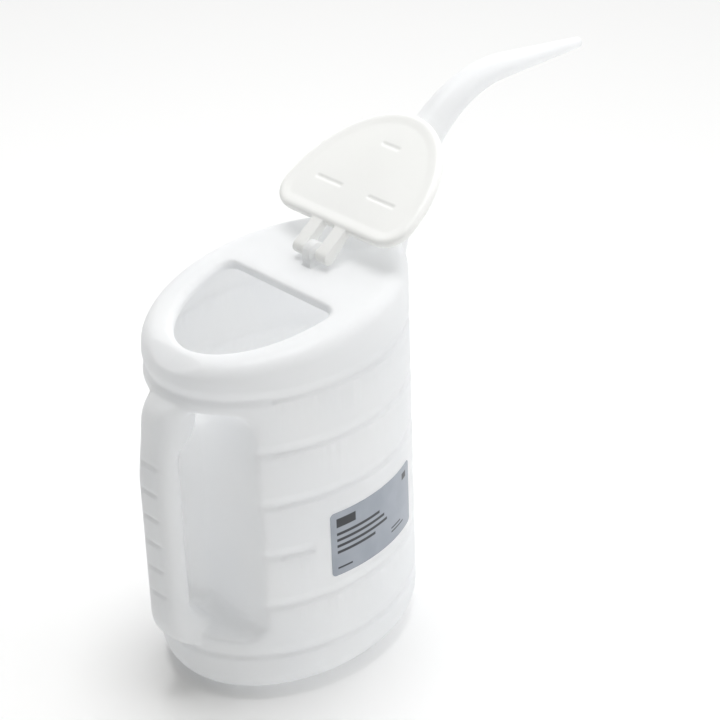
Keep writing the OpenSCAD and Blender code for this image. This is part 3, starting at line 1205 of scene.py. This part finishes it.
    def open_and_wall(self, shell: Piece) -> None:
        """Cuts the opening and the tip clean, and gives the shell its wall.

        Args:
            shell: the closed skin of the whole can.
        """
        top = self.on_top()
        down = top.to_3x3() @ Vector((0, 0, -1))
        well = top.inverted()
        deep = self.lip_drop + self.well_cut
        with editing(shell):
            choose(Part.FACES, lambda c, n: self.in_opening(well @ c))
            bpy.ops.mesh.bisect(plane_co=top @ Vector((0, 0, -deep)), plane_no=down,
                                clear_outer=True)
            tip = self.spout_rings()[-2]
            a = math.radians(self.nose_droop)
            nose = Vector((math.cos(a), 0, -math.sin(a)))
            choose(Part.FACES, lambda c, n: c.x > tip.centre[0] - self.tip_radius)
            bpy.ops.mesh.bisect(plane_co=tip.centre, plane_no=nose, clear_outer=True)
        shell.vertex_groups.new(name="inside")
        finish_modifier(shell, "SOLIDIFY", thickness=self.wall, offset=-1.0,
                        use_even_offset=False, shell_vertex_group="inside")
        finish_modifier(shell, "SMOOTH", factor=0.5, iterations=self.inside_rounds,
                        vertex_group="inside")
        shell.vertex_groups.clear()

    def in_opening(self, p: Vector) -> bool:
        """Tells whether a place in the top's frame is in the sunk opening, below its lip.

        Args:
            p: the place.

        Returns:
            True for a place in the opening.
        """
        past = self.well_past
        share = math.hypot(p.x / (self.opening_back + past), p.y / (self.opening_half + past))
        low, high = -self.well_search, -self.lip_drop - self.well_below
        return low < p.z < high and share < 1 and p.x < self.opening_front + past

    def true_side(self, shell: Piece) -> None:
        """Brings the grooved side back to its exact oval, so that the grooves run clean.

        Args:
            shell: the closed skin of the whole can.
        """
        low = self.groove_first - 2 * self.groove_lip
        high = self.groove_first + (self.groove_count - 1) * self.groove_pitch + self.groove_run
        for v in shell.data.vertices:
            if not (low < v.co.z < high and v.co.x > self.side_start):
                continue
            edge = self.groove_inset(v.co.x, v.co.z) - self.draft_at(v.co.z)
            out = math.hypot(v.co.x / (self.half_length - edge), v.co.y / (self.half_width - edge))
            if abs(out - 1) < self.side_reach:
                share = smooth_step(self.side_start, self.side_start + self.side_fade, v.co.x)
                scale = 1 + (1 / out - 1) * share
                v.co.x *= scale
                v.co.y *= scale

    def groove_inset(self, x: float, z: float) -> float:
        """How deep the side lies in its grooves at a place, with none behind the label.

        Args:
            x: the distance in front of the middle.
            z: the height.

        Returns:
            The depth, in millimetres.
        """
        inset = 0.0
        for g in range(self.groove_count):
            step = z - self.groove_first - g * self.groove_pitch
            if -self.groove_lip < step < self.groove_run:
                inset = self.groove_depth * self.groove_profile(step)
                if g == self.label_groove:
                    inset *= 1 - self.panel_share(x)
        return inset

    def soften_rims(self, shell: Piece) -> None:
        """Smooths the edges and the two ends of the hand hole more than the rest.

        Args:
            shell: the closed skin of the whole can.
        """
        group = shell.vertex_groups.new(name="rims")
        for v in shell.data.vertices:
            weight = self.rim_weight(v.co)
            if weight > 0:
                group.add([v.index], weight, "REPLACE")
        finish_modifier(shell, "SMOOTH", factor=0.5, iterations=self.rim_rounds,
                        vertex_group="rims")
        shell.vertex_groups.clear()

    def rim_weight(self, p: Vector) -> float:
        """How much a place is at the outside edge or at an end of the hand hole, from 0 to 1.

        Args:
            p: the place.

        Returns:
            The share of the smoothing that it gets.
        """
        spread = self.hole_spread(abs(p.y))
        low = self.hole_floor - self.floor_drop * spread
        high = self.hole_ceiling + self.ceiling_rise * spread
        near = -self.hole_wall + self.wall_draft * abs(p.y) / self.hole_outside
        reach = self.rim_reach
        if not (p.x < near + reach and low - reach < p.z < high + reach):
            return 0.0
        off_oval = math.hypot(p.x / self.half_length, p.y / self.half_width) - 1
        off_end = min(abs(p.z - low), abs(p.z - high))
        inside = ((1 - smooth_step(reach / 2, reach, off_end))
                  * (1 - smooth_step(near, near + self.side_fade, p.x)))
        if abs(p.y) <= self.rim_start:
            return inside
        return max(inside, 1 - smooth_step(self.side_reach, 3 * self.side_reach, abs(off_oval)))

    def build(self) -> Piece:
        """Builds the whole shell and brings it to metres.

        Returns:
            The finished shell.
        """
        body = self.body()
        self.cut_hand_hole(body)
        self.cut_thumb_facet(body)
        self.sink_opening(body)
        handle = self.handle()
        spout = loft("spout", self.spout_rings(), TUBE_FACETS)
        shell = join([body, handle, spout])
        remesh(shell, self.voxel, self.smooth_rounds)
        self.true_side(shell)
        self.soften_rims(shell)
        thin_out(shell, self.faces_kept)
        self.open_and_wall(shell)
        return hand_over(shell, Matrix.Identity(4), self.crease)


# The hinge and the lid


@dataclass
class Hinge:
    """The upright lug on the can that carries the lid, in millimetres."""

    axis_foot: float = 36.8
    height: float = 7.5
    thickness: float = 7.0
    radius: float = 7.5
    round_below: float = 1.0
    foot_height: float = 3.2
    foot: tuple[tuple[float, float], ...] = ((1.2, 1.08), (0.6, 1.12), (0.4, 1.15), (1.0, 1.0))
    foot_long: float = 1.05
    edge: float = 0.6
    crease: float = 40.0

    def build(self, top: Matrix) -> Piece:
        """Models the lug as a plate with a round head and a spread foot.

        Args:
            top: the frame of the slanted top.

        Returns:
            The finished lug.
        """
        lug = rod("hinge_lug", self.radius, self.thickness, (self.axis_foot, 0, self.height))
        with editing(lug):
            everything()
            bpy.ops.mesh.bisect(plane_co=(0, 0, self.height - self.round_below),
                                plane_no=(0, 0, -1), use_fill=True, clear_outer=True)
            choose(Part.FACES, lambda c, n: n.z < -0.9)
            for drop, grow in ((self.height - self.foot_height, 1.02), *self.foot):
                extrude((0, 0, -drop))
                stretch((min(grow, self.foot_long), grow, 1), (self.axis_foot, 0, 0))
            choose(Part.EDGES, lambda m, d: m.z > 2.5 and abs(abs(m.y) - self.thickness / 2) < 0.01
                   and abs(d.y) < 0.1 and not (m.z < self.height and abs(d.x) > 0.9))
            bevel(self.edge, 3)
        return hand_over(lug, top, self.crease)


@dataclass
class Lid:
    """The hinged lid, modelled closed in the top's frame and then turned open; millimetres."""

    near: float = 16.8
    far: float = 81.0
    half: float = 59.4
    widest: float = 3.0
    corner: float = 19.0
    thickness: float = 7.5
    edge: float = 3.0
    gap: float = 0.3
    rim: float = 7.0
    rim_height: float = 0.8
    rim_slope: float = 5.0
    arm_gap: float = 11.5
    arm_width: float = 10.0
    arm_radius: float = 5.0
    arm_sink: float = 5.0
    arm_thinner: float = 1.5
    peg_radius: float = 3.0
    peg_sink: float = 1.0
    dash_depth: float = 0.7
    dash_width: float = 3.2
    near_dash: float = 49.0
    near_dash_length: float = 25.0
    dash_off: float = 24.5
    far_dash: float = 89.5
    far_dash_length: float = 17.0
    turn: float = 157.608
    axis_x: float = 35.332
    axis_z: float = 284.734
    voxel: float = 0.6
    smooth_rounds: int = 7
    faces_kept: int = 90000

    def slab(self) -> Piece:
        """Models the lid's panel with rounded edges and a raised rim round its underside.

        Returns:
            The panel, closed and with its underside at Z = 0.
        """
        slab = blunt_oval("lid_panel", -self.widest, self.far - self.widest, self.half,
                          self.near, self.corner)
        with editing(slab):
            everything()
            extrude((0, 0, self.thickness))
            turn_out()
            choose(Part.EDGES, lambda m, d: abs(d.z) < 0.01)
            bevel(self.edge, 5)
            choose(Part.FACES, lambda c, n: n.z < -0.999 and c.z < 0.01)
            bpy.ops.mesh.inset(thickness=self.rim - self.edge - self.rim_slope / 2)
            bpy.ops.mesh.inset(thickness=self.rim_slope)
            shift((0, 0, self.rim_height))
        return slab

    def press_dash(self, slab: Piece, x: float, y: float, length: float) -> None:
        """Presses one dash with round ends into the underside.

        Args:
            slab: the lid's panel.
            x: the dash's middle along X.
            y: its middle along Y.
            length: its length along Y.
        """
        nothing()
        bpy.ops.mesh.primitive_cube_add(size=1, location=(x, y, 0))
        cutter = begin("dash")
        with editing(cutter):
            everything()
            stretch((self.dash_width, length, 2 * (self.rim_height + self.dash_depth)), (x, y, 0))
            choose(Part.EDGES, lambda m, d: abs(d.z) > 0.9)
            bevel(self.dash_width * 0.45, 4)
        cut_away(slab, cutter)

    def arm(self, side: Side, axis_foot: float, height: float) -> Piece:
        """Models one arm, from the panel's front edge to the hinge axis.

        Args:
            side: the side it is on.
            axis_foot: the hinge axis's distance in front of the middle.
            height: the axis's height above the top.

        Returns:
            The arm.
        """
        middle = side.value * (self.arm_gap + self.arm_width) / 2
        arm = rod("lid_arm", self.arm_radius, self.arm_width,
                  (axis_foot, middle, height - self.gap))
        with editing(arm):
            choose(Part.FACES, lambda c, n: n.x < -0.05 and abs(n.y) < 0.5)
            root = self.near - self.arm_sink
            extrude((root - axis_foot, 0, 0))
            stretch((0.1, 1, 1), (root, 0, 0))
            shift((0, 0, self.thickness / 2 - height + self.gap))
            stretch((1, 1, (self.thickness - self.arm_thinner) / (2 * self.arm_radius)),
                    (root, 0, self.thickness / 2))
            turn_out()
        return arm

    def build(self, top: Matrix, hinge: Hinge) -> Piece:
        """Builds the lid and turns it open.

        Args:
            top: the frame of the slanted top.
            hinge: the hinge that it turns on.

        Returns:
            The finished lid.
        """
        slab = self.slab()
        for side in Side:
            self.press_dash(slab, hinge.axis_foot - self.near_dash, side.value * self.dash_off,
                            self.near_dash_length)
        self.press_dash(slab, hinge.axis_foot - self.far_dash, 0, self.far_dash_length)
        arms = [self.arm(side, hinge.axis_foot, hinge.height) for side in Side]
        peg = rod("lid_peg", self.peg_radius, self.arm_gap + 2 * self.peg_sink,
                  (hinge.axis_foot, 0, hinge.height - self.gap))
        lid = join([slab, *arms, peg])
        lid.name = "lid_shell"
        remesh(lid, self.voxel, self.smooth_rounds)
        thin_out(lid, self.faces_kept)
        axis = Vector((self.axis_x, 0, self.axis_z))
        opened = (Matrix.Translation(axis)
                  @ Matrix.Rotation(math.radians(self.turn), 4, "Y")
                  @ Matrix.Translation(-axis))
        return hand_over(lid, opened @ top @ Matrix.Translation((0, 0, self.gap)), 0.0)


@dataclass
class Label:
    """The bare film label on the can's right side, in millimetres."""

    back: float = -26.5
    length: float = 84.0
    bottom: float = 89.0
    height: float = 50.0
    corner: float = 3.0
    lift: float = 0.06
    thickness: float = 0.22
    columns: int = 60
    rows: int = 8
    crease: float = 40.0

    def build(self, can: CanShell) -> Piece:
        """Models the label as a sheet that follows the oval.

        Args:
            can: the can that it sticks to.

        Returns:
            The finished label.
        """
        nothing()
        bpy.ops.mesh.primitive_plane_add(size=1, rotation=(math.pi / 2, 0, 0))
        label = begin("label_film")
        with editing(label):
            everything()
            stretch((self.length, 1, self.height), (0, 0, 0))
            shift((self.back + self.length / 2, -can.half_width - 4, self.bottom + self.height / 2))
            bevel(self.corner, 6, "VERTICES")
            for k in range(1, self.columns):
                x = self.back + self.length * k / self.columns
                everything()
                bpy.ops.mesh.bisect(plane_co=(x, 0, 0), plane_no=(1, 0, 0))
            for k in range(1, self.rows):
                z = self.bottom + self.height * k / self.rows
                everything()
                bpy.ops.mesh.bisect(plane_co=(0, 0, z), plane_no=(0, 0, 1))
        for v in label.data.vertices:
            g = can.draft_at(v.co.z) + self.lift
            v.co.y = -(can.half_width + g) * math.sqrt(
                1 - (v.co.x / (can.half_length + g)) ** 2)
        finish_modifier(label, "SOLIDIFY", thickness=self.thickness, offset=1.0)
        weld_and_turn_out(label)
        return hand_over(label, Matrix.Identity(4), self.crease)


# The studio


@dataclass
class Studio:
    """The floor, the lights and the camera at the photograph's angle, in metres."""

    place: Point = (-0.8247, -0.9475, 0.9539)
    back: Point = (-0.5932, -0.6249, 0.5075)
    up: Point = (0.3698, 0.3484, 0.8613)
    lens: float = 109.0
    sensor_width: float = 36.0
    floor_size: float = 12.0
    sky_left: float = 0.10
    sky_right: float = 1.44
    sky_spread: float = 0.7
    warm: Colour = (1.0, 0.985, 0.93)
    cool: Colour = (0.985, 0.992, 1.0)
    lamp_place: Point = (0.1, 0.1, 1.9)
    lamp_target: Point = (0.0, 0.0, 0.2)
    lamp_size: float = 0.8
    lamp_watts: float = 14.5
    bounces: int = 24

    def add_floor(self) -> Piece:
        """Adds a plain pale floor, marked as stage.

        Returns:
            The floor.
        """
        nothing()
        bpy.ops.mesh.primitive_plane_add(size=self.floor_size)
        floor = begin("floor")
        material, bench, shader = new_material("floor_white")
        bench.put(shader, {"Base Color": (0.95, 0.95, 0.95), "Roughness": 0.9,
                           "Specular IOR Level": 0.1})
        floor.data.materials.append(material)
        floor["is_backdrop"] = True
        return floor

    def add_light(self) -> None:
        """Adds a square softbox above the can."""
        data = bpy.data.lights.new("softbox_top", "AREA")
        data.shape = "SQUARE"
        data.size = self.lamp_size
        data.energy = self.lamp_watts
        lamp = bpy.data.objects.new("softbox_top", data)
        bpy.context.scene.collection.objects.link(lamp)
        lamp.location = self.lamp_place
        aim = Vector(self.lamp_target) - Vector(self.lamp_place)
        lamp.rotation_euler = aim.to_track_quat("-Z", "Y").to_euler()

    def add_camera(self) -> None:
        """Adds the camera that was fitted to the photograph."""
        data = bpy.data.cameras.new("camera")
        data.lens = self.lens
        data.sensor_width = self.sensor_width
        camera = bpy.data.objects.new("camera", data)
        bpy.context.scene.collection.objects.link(camera)
        back = Vector(self.back).normalized()
        up = Vector(self.up)
        right = up.cross(back).normalized()
        up = back.cross(right)
        turn = Matrix((right, up, back)).transposed()
        camera.matrix_world = Matrix.Translation(self.place) @ turn.to_4x4()
        bpy.context.scene.camera = camera

    def add_sky(self) -> None:
        """Adds soft light from all round, weak from the left and strong from the right."""
        world = bpy.data.worlds.new("studio_world")
        world.use_nodes = True
        bench = NodeBench(world.node_tree)
        sky = world.node_tree.nodes["Background"]
        heading = bench.split(bench.add("ShaderNodeTexCoord").outputs["Generated"])["X"]
        fade = bench.ramp(heading, -self.sky_spread, self.sky_spread, self.sky_left,
                          self.sky_right)
        tint = bench.ramp(heading, -self.sky_spread, self.sky_spread)
        bench.put(sky, {"Strength": fade, "Color": bench.mix(tint, self.warm, self.cool)})
        bpy.context.scene.world = world

    def build(self) -> None:
        """Builds the whole studio."""
        self.add_floor()
        self.add_sky()
        self.add_light()
        scene = bpy.context.scene
        scene.view_settings.view_transform = "Standard"
        scene.cycles.diffuse_bounces = self.bounces
        scene.cycles.max_bounces = self.bounces
        self.add_camera()


def dress(piece: Piece, material: Material, body: str,
          node: str) -> None:
    """Gives a piece its finish and its body, and hides the CAD node that it stands for.

    Args:
        piece: the finished mesh.
        material: its material.
        body: the body that it rides on.
        node: the CAD node that it replaces.
    """
    piece.data.materials.clear()
    piece.data.materials.append(material)
    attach(piece, body)
    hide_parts(node)


def main() -> None:
    """Builds the can, its hinge, its lid, its label and the studio, in order."""
    logging.basicConfig(level=logging.INFO, format="%(name)s: %(message)s")
    Studio().build()
    paint = Paint()
    can, hinge, lid, label = CanShell(), Hinge(), Lid(), Label()
    top = can.on_top()
    dress(can.build(), paint.natural, "can", "can_body")
    dress(hinge.build(top), paint.natural, "can", "can_body")
    dress(lid.build(top, hinge), paint.lid_white, "lid", "lid")
    dress(label.build(can), paint.film, "can", "label")
    sizes = {"cad": [list(c) for c in CAD_BOX], "visual": [list(c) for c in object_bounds()]}
    for name, (low, high) in sizes.items():
        log.info("%s box: %s to %s", name, [round(v, 4) for v in low],
                 [round(v, 4) for v in high])


if __name__ == "__main__":
    main()
